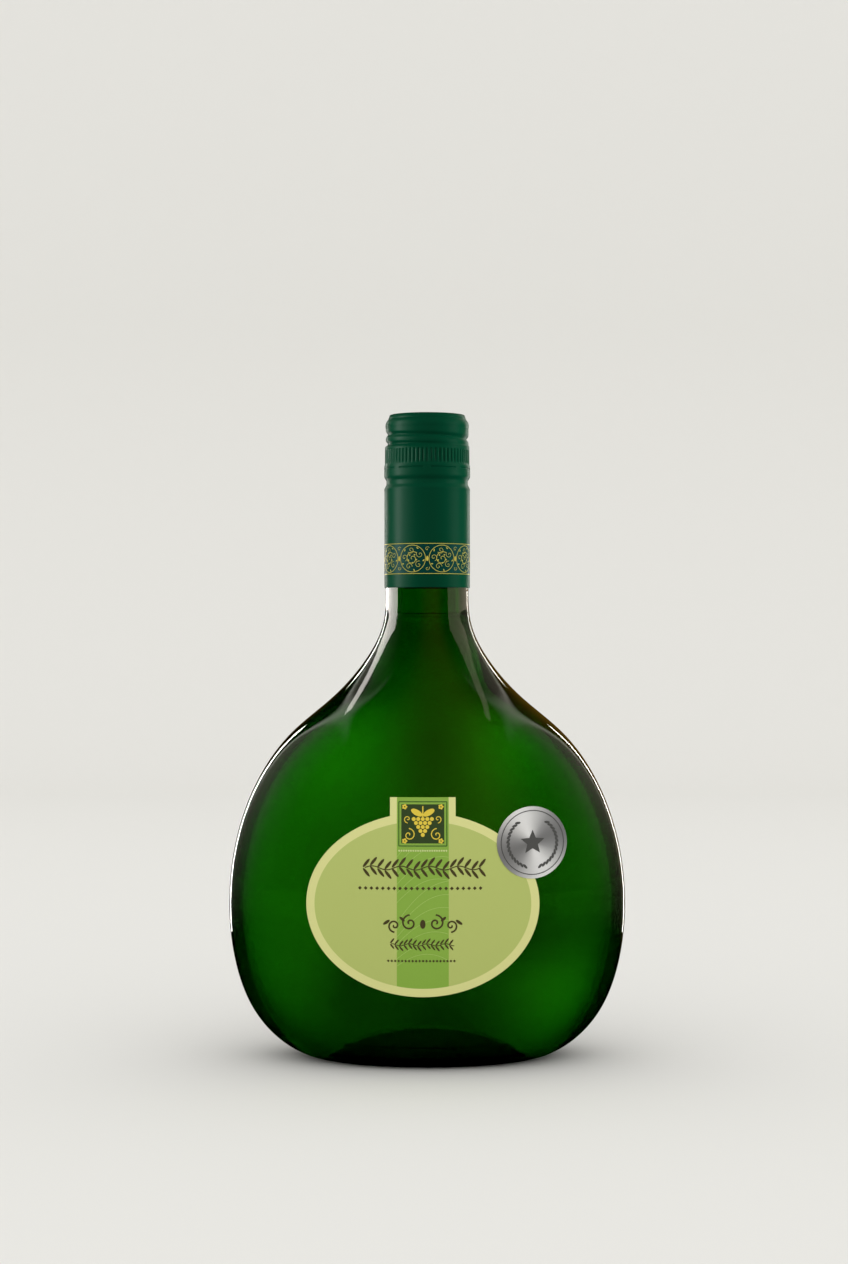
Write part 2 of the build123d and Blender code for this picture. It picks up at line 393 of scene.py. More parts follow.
def cap_skin():
    """Closed skin of the cap: outside from its edge to its top, then the inside back down.

    The thread's middle falls by one pitch a lap, and its dip is depth * exp(-((z - middle) / width) ** 2).
    The knurl's is depth * (0.5 + 0.5 cos(ribs a)) ** 2 and a slot's depth * exp(-((z - level) / half) ** 4).
    """
    turn = np.arange(CAP_TURN) / CAP_TURN * 2 * np.pi
    height = cap_heights()
    z = height[:, None]
    radius = np.interp(height, CAP_PROFILE[:, 0], CAP_PROFILE[:, 1])[:, None] + 0 * turn
    share = turn / (2 * np.pi)
    for lap in range(2):
        middle = THREAD_TOP - THREAD_PITCH * (share + lap)
        ends = np.clip(np.minimum(share + lap, THREAD_LAPS - share - lap) / THREAD_FADE, 0, 1)
        radius = radius - THREAD_DEPTH * ends * np.exp(-((z - middle) / THREAD_WIDTH) ** 2)
    knurl = np.clip(np.minimum(z - KNURL_LOW, KNURL_HIGH - z) / KNURL_FADE, 0, 1)
    radius = radius - knurl * KNURL_DEPTH * (0.5 + 0.5 * np.cos(KNURL_RIBS * turn)) ** 2
    phase = (share * SLOTS) % 1
    cut = np.clip(np.minimum(phase - SLOT_START, SLOT_END - phase) / SLOT_FADE, 0, 1)
    radius = radius - SLOT_DEPTH * cut * np.exp(-((z - SLOT_LEVEL) / SLOT_HALF) ** 4)
    lean = np.linspace(0, np.pi / 2, 20)[1:]
    edge = CAP_PROFILE[-1, 1] - TOP_SPREAD
    corner = np.stack([edge + TOP_SPREAD * np.cos(lean), CAP_TOP - TOP_ROUND + TOP_ROUND * np.sin(lean)], 1)
    rest = np.concatenate([corner, CAP_LID, CAP_INSIDE])
    radii = np.concatenate([radius, np.repeat(rest[:, :1], CAP_TURN, axis=1)])
    levels = np.concatenate([height, rest[:, 1]])
    rings = np.stack(np.broadcast_arrays(radii * np.cos(turn), radii * np.sin(turn), levels[:, None]), -1)
    rows, outer = len(rings), len(rings) - len(CAP_INSIDE)
    ring = np.arange(CAP_TURN)
    after = (ring + 1) % CAP_TURN
    last, lid_ring, under_ring = ((row * CAP_TURN) for row in (rows - 1, outer - 1, outer))
    middle = np.full(CAP_TURN, rows * CAP_TURN)
    faces = grid_faces(outer, CAP_TURN, closed=True)
    faces += grid_faces(rows - outer, CAP_TURN, closed=True, start=under_ring)
    faces += np.stack([middle, lid_ring + ring, lid_ring + after], -1).tolist()
    faces += np.stack([middle + 1, under_ring + after, under_ring + ring], -1).tolist()
    faces += np.stack([after, last + after, last + ring, ring], -1).tolist()
    middles = [(0, 0, CAP_LID[-1, 1]), (0, 0, CAP_INSIDE[0, 1])]
    points = np.concatenate([rings.reshape(-1, 3), middles])
    return add_mesh("cap_shell", points, faces)


cap = cap_skin()
lacquer = new_material("satin green lacquer on aluminium", {
    "Base Color": linear("001B0F"), "Roughness": 0.34, "Metallic": 0.0, "Specular IOR Level": 0.05,
})[0]
cap.data.materials.append(lacquer)
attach(cap, "root")
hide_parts("screw_cap")
print("cap faces:", len(cap.data.polygons))

# %% [markdown]
# ## Printed lines and shapes
# Fine print is laid on as very thin inlays, so that it stays crisp at any distance. Each is a
# flat line or shape in millimetres, given to a function that lays it on the cap or the label.

# %% Flat shapes
def ribbon(line, width):
    """Strip along a line of flat points: the line moved width / 2 to each side, as quads."""
    line = np.asarray(line, float)
    run = np.gradient(line, axis=0)
    run /= np.maximum(np.linalg.norm(run, axis=1, keepdims=True), 1e-9)
    side = np.stack([-run[:, 1], run[:, 0]], 1) * np.reshape(width, (-1, 1)) / 2
    points = np.stack([line - side, line + side], 1).reshape(-1, 2)
    return points, grid_faces(len(line), 2)


def disc(x, y, radius_x, radius_y=None, turn=20, lean=0.0):
    """Filled ellipse about x, y, leaning by an angle."""
    a = np.arange(turn) / turn * 2 * np.pi
    flat = np.stack([radius_x * np.cos(a), (radius_y or radius_x) * np.sin(a)], 1)
    spin = np.array([[np.cos(lean), np.sin(lean)], [-np.sin(lean), np.cos(lean)]])
    return flat @ spin + (x, y), [list(range(turn))]


def arc(x, y, radius, start, end, count=24):
    """Points of a circle about x, y between two angles in degrees."""
    a = np.radians(np.linspace(start, end, count))
    return np.stack([x + radius * np.cos(a), y + radius * np.sin(a)], 1)


def scroll(x, y, size, turns, spin, hand=1):
    """Spiral that shrinks to its middle: radius size (1 - t), angle spin + hand * turns * t."""
    t = np.linspace(0, 0.94, 40)
    a = spin + hand * turns * 2 * np.pi * t
    return np.stack([x + size * (1 - t) * np.cos(a), y + size * (1 - t) * np.sin(a)], 1)


def lay(name, shapes, onto):
    """One piece from many flat shapes, each laid on a surface by the function onto."""
    points, faces, start = [], [], 0
    for flat, cells in shapes:
        points.append(onto(flat))
        faces += [[corner + start for corner in cell] for cell in cells]
        start += len(flat)
    return add_mesh(name, np.concatenate(points), faces)


def gold_foil(name, colour="E2CE58", roughness=0.35, metal=0.35):
    """Gold print: part metal for a soft shine, part plain colour so that it stays yellow in the dark."""
    return new_material(name, {"Base Color": linear(colour), "Metallic": metal, "Roughness": roughness})[0]


# %% [markdown]
# ## The cap's printed band
# A darker band with a gold line above and below, and gold roundels filled with a scrolling
# vine, as many caps for wine carry.

# %% Cap band
BAND_LOW, BAND_HIGH = 167.0, 177.3
BAND_MIDDLE = (BAND_LOW + BAND_HIGH) / 2
BAND_LIFT, GOLD_LIFT = 0.03, 0.06
ROUNDELS, ROUNDEL_RADIUS = 9, 4.7
AROUND = np.linspace(0, 2 * np.pi * SKIRT_RADIUS, 241)


def onto_cap(lift):
    """Lays flat x along the cap's round and y as height, at a small lift off its lacquer."""
    def place(flat):
        turn = flat[:, 0] / SKIRT_RADIUS - np.pi / 2
        radius = SKIRT_RADIUS + lift
        return np.stack([radius * np.cos(turn), radius * np.sin(turn), flat[:, 1]], 1)
    return place


def roundel(x):
    """Gold ring with a vine inside: five thin scrolls, small leaves and a few berries."""
    y = BAND_MIDDLE
    shapes = [ribbon(arc(x, y, ROUNDEL_RADIUS - 0.1, 0, 360, 60), 0.2)]
    shapes.append(ribbon(scroll(x, y, 2.5, 1.6, 0.9, 1), 0.2))
    for number in range(5):
        lean = 0.5 + number * 2 * np.pi / 5
        middle = x + 3.0 * np.cos(lean), y + 3.0 * np.sin(lean)
        shapes.append(ribbon(scroll(*middle, 1.25, 1.3, lean + 2.0, 1), 0.15))
        shapes.append(disc(x + 4.0 * np.cos(lean + 0.6), y + 4.0 * np.sin(lean + 0.6), 0.42, 0.2, lean=-lean))
        shapes.append(disc(x + 1.5 * np.cos(lean + 0.5), y + 1.5 * np.sin(lean + 0.5), 0.26, turn=10))
    return shapes


def level_line(level):
    """Flat line once round the skirt at one height."""
    return np.stack([AROUND, np.full(len(AROUND), level)], 1)


def cap_print():
    """Two lines round the band, the roundels, and a bead with two drops in each gap between them."""
    length = AROUND[-1]
    shapes = [ribbon(level_line(level), 0.2) for level in (BAND_LOW, BAND_HIGH)]
    for number in range(ROUNDELS):
        x = (number + 0.5) * length / ROUNDELS
        shapes += roundel(x)
        gap = x + length / ROUNDELS / 2
        shapes.append(disc(gap, BAND_MIDDLE, 0.42, 0.9, turn=12))
        for side in (-1, 1):
            shapes.append(ribbon(scroll(gap, BAND_MIDDLE + side * 3.3, 0.8, 1.1, 0.5, side), 0.14))
    return shapes


band = lay("cap_band", [ribbon(level_line(BAND_MIDDLE), BAND_HIGH - BAND_LOW)], onto_cap(BAND_LIFT))
band.data.materials.append(new_material("dark teal print on lacquer", {
    "Base Color": linear("001A16"), "Roughness": 0.34, "Specular IOR Level": 0.05})[0])
vine = lay("cap_gold_vine", cap_print(), onto_cap(GOLD_LIFT))
vine.data.materials.append(gold_foil("hot-stamped gold foil"))
for piece in (band, vine):
    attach(piece, "root")
print("gold shapes faces:", len(vine.data.polygons))

# %% [markdown]
# ## The front label
# Coated paper with a matt face, printed in flat greens. The fields of colour are a few simple
# masks worked out from the label's own place: a pale rim, a yellow-green field and a stripe.

# %% Label fields
LABEL_X, LABEL_Z = -1.5, 56.6
LABEL_HALF_WIDTH, LABEL_HALF_HEIGHT = 38.9, 30.5
RIM = 2.8
STRIPE_HALF = 8.6
PAPER_LIFT = 0.17
RIM_COLOUR, FIELD_COLOUR, STRIPE_COLOUR = "D6D68C", "B2BE66", "84AC36"


def onto_label(lift):
    """Lays flat x, y on the front: y_out = -depth sqrt(1 - (x / width)^2) at the height y."""
    def place(flat):
        x, z = flat[:, 0], flat[:, 1]
        width = np.interp(z, OUTLINE[:, 2], OUTLINE[:, 0])
        depth = np.interp(z, OUTLINE[:, 2], OUTLINE[:, 1])
        front = -depth * np.sqrt(1 - (x / width) ** 2)
        outward = np.stack([x / width ** 2, front / depth ** 2, 0 * x], 1)
        outward /= np.linalg.norm(outward, axis=1, keepdims=True)
        return np.stack([x, front, z], 1) + outward * lift
    return place


def label_paper():
    """Paper in three colours. The field is (x / half width) ** 2 + (z / half height) ** 2 < 1 inside
    the rim, and the stripe is |x| < its half width, within the field or above the middle.
    """
    material, tree, shader, _ = new_material("printed matt label paper", {"Roughness": 0.62})
    place = add_node(tree, "ShaderNodeTexCoord").outputs["Object"]
    axes = add_node(tree, "ShaderNodeSeparateXYZ", inputs={0: place})
    x = arithmetic(tree, "SUBTRACT", axes.outputs["X"], LABEL_X * MM)
    z = arithmetic(tree, "SUBTRACT", axes.outputs["Z"], LABEL_Z * MM)
    across = squared_share(tree, x, (LABEL_HALF_WIDTH - RIM) * MM)
    upward = squared_share(tree, z, (LABEL_HALF_HEIGHT - RIM) * MM)
    field = arithmetic(tree, "LESS_THAN", arithmetic(tree, "ADD", across, upward), 1.0)
    above = arithmetic(tree, "GREATER_THAN", z, 0.0)
    narrow = arithmetic(tree, "LESS_THAN", arithmetic(tree, "ABSOLUTE", x), STRIPE_HALF * MM)
    stripe = arithmetic(tree, "MULTIPLY", narrow, arithmetic(tree, "MAXIMUM", field, above))
    base = mixed(tree, field, linear(RIM_COLOUR), linear(FIELD_COLOUR))
    full = mixed(tree, stripe, base, linear(STRIPE_COLOUR))
    tree.links.new(full, shader.inputs["Base Color"])
    return material


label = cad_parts["front_label"]
label.data.materials.clear()
label.data.materials.append(label_paper())
print("label half width and half height in mm:", LABEL_HALF_WIDTH, LABEL_HALF_HEIGHT)

# %% [markdown]
# ## The label's fine print
# Pale contour lines like rows of vines cross the stripe, a framed emblem fills the tab, and
# dark brown garlands, scrolls and diamonds stand where a bottler's words would be. All of it is
# ink a few hundredths of a millimetre above the paper, one piece for each colour.

# %% Vine rows
VINE_ROWS, VINE_LOW, VINE_PITCH, VINE_TOP = 13, 33, 3.4, 74.5
VINE_BOW, VINE_FAN, VINE_INK = 7.5, 0.22 * 9, 0.16
STEEP_ROWS, FLAT_SHARE = 7, 0.4


def vine_rows():
    """Pale curved rows fanning over the stripe, kept inside it.

    Row n runs along low + pitch n + bow sin(pi (0.15 + 0.6 t)) + fan n (t - 0.5), with less fan
    in the upper rows.
    """
    shapes = []
    for number in range(VINE_ROWS):
        t = np.linspace(0, 1, 50)
        x = LABEL_X - STRIPE_HALF + 2 * STRIPE_HALF * t
        fan = VINE_FAN * number * (t - 0.5) * (1 if number < STEEP_ROWS else FLAT_SHARE)
        z = VINE_LOW + VINE_PITCH * number + VINE_BOW * np.sin(np.pi * (0.15 + 0.6 * t)) + fan
        keep = z < VINE_TOP
        if keep.sum() > 3:
            shapes.append(ribbon(np.stack([x, z], 1)[keep], VINE_INK))
    return shapes


# %% [markdown]
# ## The emblem
# A dark square in a thin frame, with a bunch of grapes, two leaves and four scrolls in gold.

# %% Emblem
EMBLEM_Z = 83.4
GRAPE_ROWS, GRAPE_PITCH, GRAPE_DROP, GRAPE_RADIUS = 5, 1.5, 1.3, 0.66
FLOWER_OUT, FLOWER_UP, PETALS, PETAL_REACH = 6.0, 5.6, 5, 0.55


def emblem_gold():
    """A bunch of grapes under two leaves between scrolls, with little flowers in the corners."""
    shapes = []
    for row in range(GRAPE_ROWS):
        for place in range(GRAPE_ROWS - row):
            x = LABEL_X + GRAPE_PITCH * (place - (GRAPE_ROWS - 1 - row) / 2)
            shapes.append(disc(x, EMBLEM_Z + 1.6 - GRAPE_DROP * row, GRAPE_RADIUS, turn=16))
    for hand in (-1, 1):
        shapes.append(disc(LABEL_X + hand * 2.0, EMBLEM_Z + 3.7, 2.1, 0.95, lean=hand * 0.5))
        shapes.append(ribbon(scroll(LABEL_X + hand * 4.6, EMBLEM_Z - 3.6, 2.1, 1.4, 1.57, hand), 0.34))
        shapes.append(ribbon(scroll(LABEL_X + hand * 5.0, EMBLEM_Z + 1.6, 1.3, 1.2, -1.57, hand), 0.28))
        for level in (-FLOWER_UP, FLOWER_UP):
            for petal in range(PETALS):
                a = petal * 2 * np.pi / PETALS
                x = LABEL_X + hand * FLOWER_OUT + PETAL_REACH * np.cos(a)
                shapes.append(disc(x, EMBLEM_Z + level + PETAL_REACH * np.sin(a), 0.36, turn=10))
    shapes.append(ribbon(np.array([(LABEL_X, EMBLEM_Z + 2.2), (LABEL_X, EMBLEM_Z + 5.8)]), 0.4))
    return shapes


def square_line(half_width, half_height, width):
    """Frame line about the emblem, as four strips."""
    left, right = LABEL_X - half_width, LABEL_X + half_width
    low, high = EMBLEM_Z - half_height, EMBLEM_Z + half_height
    sides = [((left, low), (right, low)), ((left, high), (right, high)),
             ((left, low), (left, high)), ((right, low), (right, high))]
    return [ribbon(np.linspace(a, b, 12), width) for a, b in sides]


def flat_square(half_width, half_height, steps=12):
    """Filled rectangle about the emblem, as a grid so that it can follow the round."""
    x, z = np.meshgrid(np.linspace(-half_width, half_width, steps),
                       np.linspace(-half_height, half_height, steps), indexing="xy")
    flat = np.stack([x + LABEL_X, z + EMBLEM_Z], -1).reshape(-1, 2)
    return flat, grid_faces(steps, steps)


# %% [markdown]
# ## Ornament in place of words
# Two garlands, two rows of diamonds and one flourish, each as long as the line it stands for.

# %% Brown print
GARLANDS = [(68.9, 19.2, 2.5, 2.4, 0.34), (43.6, 10.4, 1.5, 1.5, 0.26)]
DIAMONDS = [(62.2, 20.8, 1.9, 0.62), (38.2, 11.4, 1.15, 0.46)]
FLOURISH = (50.4, 12.0, 2.7, 0.55)


def garland(z, half, leaf, pitch, width):
    """Row of leaf pairs along the stem z + 0.25 leaf sin(2 pi x / (4 pitch)), at the height z."""
    def wave(x):
        return 0.25 * leaf * np.sin(2 * np.pi * x / (4 * pitch))
    x = np.linspace(-half, half, 90)
    shapes = [ribbon(np.stack([LABEL_X + x, z + wave(x)], 1), width)]
    for number in range(int(2 * half / pitch) + 1):
        at = -half + pitch * number
        for side in (-1, 1):
            middle = z + wave(at) + side * 0.62 * leaf
            shapes.append(disc(LABEL_X + at + 0.2 * leaf, middle, 0.70 * leaf, 0.19 * leaf, lean=side * 0.9))
    return shapes


def dots(z, half, pitch, size):
    """Row of small diamonds at the height z."""
    places = np.arange(-half, half + 0.01, pitch)
    return [disc(LABEL_X + x, z, size, size, turn=4) for x in places]


def flourish(z, half, size, width):
    """Two scrolls that turn outwards from a bud, joined by a bowed line."""
    shapes = [disc(LABEL_X, z, 0.9, 1.5, turn=16)]
    for hand in (-1, 1):
        inner, outer = LABEL_X + hand * half * 0.36, LABEL_X + hand * half * 0.78
        shapes.append(ribbon(scroll(inner, z + 0.4, size, 1.5, np.pi / 2, -hand), width))
        shapes.append(ribbon(scroll(outer, z - 0.5, size * 0.8, 1.4, -np.pi / 2, hand), width))
        shapes.append(disc(LABEL_X + hand * half, z + 0.6, 1.3, 0.5, lean=-hand * 0.6))
        shapes.append(disc(LABEL_X + hand * half * 0.57, z + 1.7, 1.1, 0.45, lean=hand * 0.7))
    return shapes


def brown_print():
    """The ornament from the top line down."""
    return (garland(*GARLANDS[0]) + dots(*DIAMONDS[0]) + flourish(*FLOURISH)
            + garland(*GARLANDS[1]) + dots(*DIAMONDS[1]))


# %% [markdown]
# ## Laying the print on the paper
# Each print has its shapes, its lift over the paper in millimetres and its ink. Printing ink is
# a little smoother than the paper it lies on, and the emblem's gold is a paint with hardly any
# metal in it.

# %% Label print
DOT_LINE_Z, DOT_LINE_HALF, DOT_PITCH = 74.6, 7.8, 0.78


def pale_dots():
    """Row of small dots under the emblem."""
    places = np.arange(-DOT_LINE_HALF, DOT_LINE_HALF + 0.1, DOT_PITCH)
    return [disc(LABEL_X + x, DOT_LINE_Z, 0.32, 0.36, turn=6) for x in places]


def ink(name, colour, roughness=0.55):
    """Flat printing ink of one screen colour."""
    return new_material(name, {"Base Color": linear(colour), "Roughness": roughness})[0]


prints = {
    "label_vine_rows": (vine_rows(), 0.02, ink("pale green ink", "A2C45A")),
    "label_emblem_ground": ([flat_square(7.1, 6.4)], 0.02, ink("dark olive ink", "2F4A0E")),
    "label_emblem_frame": (square_line(7.95, 7.25, 0.34), 0.04, ink("leaf green ink", "3B6A12")),
    "label_pale_dots": (pale_dots(), 0.04, ink("pale yellow ink", "C6D488")),
    "label_emblem_gold": (emblem_gold(), 0.06, gold_foil("gold ink", "E6CB3C", 0.5, 0.1)),
    "label_brown_print": (brown_print(), 0.03, ink("dark brown ink", "4A3E08")),
}
for name, (shapes, lift, material) in prints.items():
    piece = lay(name, shapes, onto_label(PAPER_LIFT + lift))
    piece.data.materials.append(material)
    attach(piece, "root")
print("label print pieces:", len(prints))

# %% [markdown]
# ## The seal
# A round sticker of satin silver foil, printed in dark grey with a ring, a wreath of leaves and
# a star. Foil brushed in circles shows two light and two dark sectors of reflection. Here they
# are a painted reflection in the foil's colour, taken from the angle about the seal's middle,
# because real brush marks are too fine to draw.

# %% Seal
SEAL_X, SEAL_Z, SEAL_RADIUS = 35.0, 76.8, 11.9
SEAL_LIFT, SEAL_INK_LIFT = 0.34, 0.05
RING_SHARE, RING_INK = 0.885, 0.28
LEAVES, LEAF_CIRCLE, LEAF_START, LEAF_STEP = 14, 8.2, 18, 9.6
STAR_TIPS, STAR_OUTER, STAR_INNER = 5, 4.2, 1.9
# The tilt and the tones paint the foil's reflection into its colour, as two light and two dark sectors.
PAINTED_REFLECTION_TILT = 1.95
PAINTED_REFLECTION_TONES = [
    (0.0, 0.23, 0.23, 0.23), (0.35, 0.38, 0.38, 0.38), (0.8, 0.72, 0.72, 0.71), (1.0, 0.95, 0.95, 0.94),
]


def seal_print():
    """Ring, laurel leaves at equal steps up both sides, and a star, as flat shapes."""
    shapes = [ribbon(arc(SEAL_X, SEAL_Z, SEAL_RADIUS * RING_SHARE, 0, 360, 90), RING_INK)]
    for number in range(LEAVES):
        for hand in (-1, 1):
            a = np.radians(-90 + hand * (LEAF_START + LEAF_STEP * number))
            x, z = SEAL_X + LEAF_CIRCLE * np.cos(a), SEAL_Z + LEAF_CIRCLE * np.sin(a)
            shapes.append(disc(x, z, 1.0, 0.42, turn=10, lean=a + np.pi / 2 + hand * 0.5))
    corner = np.arange(2 * STAR_TIPS)
    a = np.pi / 2 + corner * np.pi / STAR_TIPS
    r = np.where(corner % 2 == 0, STAR_OUTER, STAR_INNER)
    star = np.stack([SEAL_X + r * np.cos(a), SEAL_Z + r * np.sin(a)], 1)
    return shapes + [(star, [corner.tolist()])]


def foil_with_painted_reflection():
    """Silver foil with a painted reflection: its tone follows 0.5 + 0.5 cos(2 (a - tilt)) at the angle a about
    its middle.
    """
    material, tree, shader, _ = new_material("satin silver foil", {"Metallic": 0.3, "Roughness": 0.4})
    place = add_node(tree, "ShaderNodeTexCoord").outputs["Object"]
    axes = add_node(tree, "ShaderNodeSeparateXYZ", inputs={0: place})
    x = arithmetic(tree, "SUBTRACT", axes.outputs["X"], SEAL_X * MM)
    z = arithmetic(tree, "SUBTRACT", axes.outputs["Z"], SEAL_Z * MM)
    angle = arithmetic(tree, "ARCTAN2", z, x)
    tilted = arithmetic(tree, "SUBTRACT", angle, PAINTED_REFLECTION_TILT)
    wave = arithmetic(tree, "COSINE", arithmetic(tree, "MULTIPLY", tilted, 2.0))
    share = arithmetic(tree, "MULTIPLY", arithmetic(tree, "ADD", wave, 1.0), 0.5)
    tree.links.new(ramp(tree, share, PAINTED_REFLECTION_TONES), shader.inputs["Base Color"])
    return material


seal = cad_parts["award_seal"]
seal.data.materials.clear()
seal.data.materials.append(foil_with_painted_reflection())
relief = lay("seal_relief", seal_print(), onto_label(SEAL_LIFT + SEAL_INK_LIFT))
relief.data.materials.append(ink("dark grey ink", "4E4E4C", roughness=0.5))
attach(relief, "root")
print("seal print faces:", len(relief.data.polygons))

# %% [markdown]
# ## The stage
# A roll of pale seamless paper runs under the bottle and bends up behind it. It is matt, and
# mirrors don't see it, because its haze would grey the dark glass.

# %% Sweep
SWEEP_HALF, SWEEP_FRONT, SWEEP_BACK, SWEEP_BEND, SWEEP_TOP = 1500.0, -900.0, 1300.0, 500.0, 1500.0


def sweep():
    """Floor that bends up into a wall: a flat, a quarter circle and an upright."""
    lean = np.linspace(0, np.pi / 2, 24)
    bend = SWEEP_BACK + SWEEP_BEND * np.sin(lean)
    y = np.concatenate([[SWEEP_FRONT], bend, [SWEEP_BACK + SWEEP_BEND]])
    z = np.concatenate([[0.0], SWEEP_BEND * (1 - np.cos(lean)), [SWEEP_TOP]])
    x = np.array([[-SWEEP_HALF, SWEEP_HALF]])
    points = np.stack(np.broadcast_arrays(x, y[:, None], z[:, None]), -1)
    return add_mesh("sweep", points.reshape(-1, 3), grid_faces(len(y), 2))


floor = sweep()
floor.data.materials.append(new_material("pale seamless paper", {
    "Base Color": linear("E3E2DE"), "Roughness": 0.9, "Specular IOR Level": 0.0})[0])
floor.visible_glossy = False
print("sweep width and height in mm:", 2 * SWEEP_HALF, SWEEP_TOP)

# %% [markdown]
# ## The gel
# Studios shape the light that comes through a bottle with a card or a gel close behind it. This
# one is a clear sheet that only rays through the glass meet. It takes away a little over
# half of their light, in soft patches, and it stays where it is when the camera moves.

# %% Gel
GEL_DEPTH, GEL_HALF, GEL_LOW, GEL_TOP, GEL_FADE = 62.0, 110.0, 0.5, 215.0, 38.0
GEL_LEVEL = 0.43
# Each patch is x, z, half width and half height in mm, and how far it lifts the clearness.
GEL_PATCHES = [
    (-24.0, 100.0, 15.0, 22.0, 0.90), (21.0, 104.0, 10.0, 19.0, 1.0), (38.0, 20.0, 15.0, 11.0, 0.80),
    (-48.0, 66.0, 20.0, 34.0, 0.30), (-40.0, 20.0, 18.0, 13.0, 0.20), (50.0, 66.0, 13.0, 30.0, 0.20),
    (0.0, 138.0, 26.0, 20.0, -0.16), (1.0, 96.0, 9.0, 26.0, -0.16), (4.0, 14.0, 26.0, 20.0, -0.36),
    (25.0, 36.0, 11.0, 14.0, -0.26), (-20.0, 24.0, 8.0, 13.0, -0.22),
]


def gel():
    """Clear sheet close behind the bottle that dims what the glass lets through, in soft patches.

    Its clearness is a level plus a sum of rise * exp(-((x - x0) / w) ** 2 - ((z - z0) / h) ** 2),
    and goes to 1 at its side and top edges.
    """
    points = np.array([(x, GEL_DEPTH, z) for z in (GEL_LOW, GEL_TOP) for x in (-GEL_HALF, GEL_HALF)])
    sheet = add_mesh("soft_gel", points, [[0, 1, 3, 2]])
    material = bpy.data.materials.new("soft gel")
    material.use_nodes = True
    tree = material.node_tree
    tree.nodes.clear()
    place = add_node(tree, "ShaderNodeTexCoord").outputs["Object"]
    axes = add_node(tree, "ShaderNodeSeparateXYZ", inputs={0: place})
    total = GEL_LEVEL
    for x, z, width, height, rise in GEL_PATCHES:
        across, upward = (
            squared_share(tree, arithmetic(tree, "SUBTRACT", axes.outputs[axis], middle * MM), size * MM)
            for axis, middle, size in (("X", x, width), ("Z", z, height)))
        fall = arithmetic(tree, "MULTIPLY", arithmetic(tree, "ADD", across, upward), -1.0)
        patch = arithmetic(tree, "MULTIPLY", arithmetic(tree, "EXPONENT", fall), rise)
        total = arithmetic(tree, "ADD", patch, total)
    beside = arithmetic(tree, "SUBTRACT", GEL_HALF * MM, arithmetic(tree, "ABSOLUTE", axes.outputs["X"]))
    inward = arithmetic(tree, "MINIMUM", beside, arithmetic(tree, "SUBTRACT", GEL_TOP * MM, axes.outputs["Z"]))
    fade = arithmetic(tree, "MINIMUM", arithmetic(tree, "DIVIDE", inward, GEL_FADE * MM), 1.0)
    dimming = arithmetic(tree, "MULTIPLY", arithmetic(tree, "SUBTRACT", 1.0, total), fade)
    clear = add_node(tree, "ShaderNodeBsdfTransparent", inputs={
        "Color": arithmetic(tree, "MINIMUM", arithmetic(tree, "SUBTRACT", 1.0, dimming), 1.0)})
    add_node(tree, "ShaderNodeOutputMaterial", inputs={"Surface": clear.outputs[0]})
    sheet.data.materials.append(material)
    for kind in ("camera", "diffuse", "glossy", "volume_scatter", "shadow"):
        setattr(sheet, "visible_" + kind, False)


gel()
print("gel patches:", len(GEL_PATCHES))

# %% [markdown]
# ## The light of the room
# Four kinds of ray meet four rooms, all of them fixed in space. Matt surfaces get an even sky.
# The camera sees the grey of the paper past the sweep's edge. Mirrors see dark walls with a soft
# panel each side and a faint warm glow to the right. Rays through the glass see walls of the
# paper's grey, which are dark overhead and on the camera's side.

# %% World
WALL_LEVEL, SKY_LEVEL, BEYOND_SWEEP = 3.0, 1.09, 0.78
SKY_GREEN, SKY_BLUE = 0.998, 0.99
SIDE_PANELS = [
    (0.00, 0.10, 0.095, 0.08), (0.178, 0.13, 0.125, 0.10), (0.198, 0.52, 0.52, 0.46), (0.212, 0.0, 0.0, 0.0),
    (0.788, 0.0, 0.0, 0.0), (0.804, 0.42, 0.41, 0.35), (0.826, 0.12, 0.11, 0.09), (1.00, 0.12, 0.10, 0.08),
]
PANELS_BY_HEIGHT = [(0.40, 0.0, 0.0, 0.0), (0.52, 0.35, 0.35, 0.35), (0.68, 1.0, 1.0, 1.0)]
PANELS_BY_DEPTH = [(0.30, 0.0, 0.0, 0.0), (0.50, 0.4, 0.4, 0.4), (0.62, 1.0, 1.0, 1.0)]
WARM_ROOM = [
    (0.30, 0.0, 0.0, 0.0), (0.50, 0.035, 0.018, 0.002), (0.70, 0.055, 0.028, 0.003), (0.86, 0.004, 0.002, 0.0),
]
WARM_BY_HEIGHT = [(0.40, 0.0, 0.0, 0.0), (0.50, 1.0, 1.0, 1.0)]
THROUGH_BY_HEIGHT = [(0.40, 0.26, 0.26, 0.25), (0.62, 0.26, 0.26, 0.25), (0.80, 0.0, 0.0, 0.0)]
THROUGH_BY_DEPTH = [(0.30, 0.0, 0.0, 0.0), (0.48, 1.0, 1.0, 1.0)]


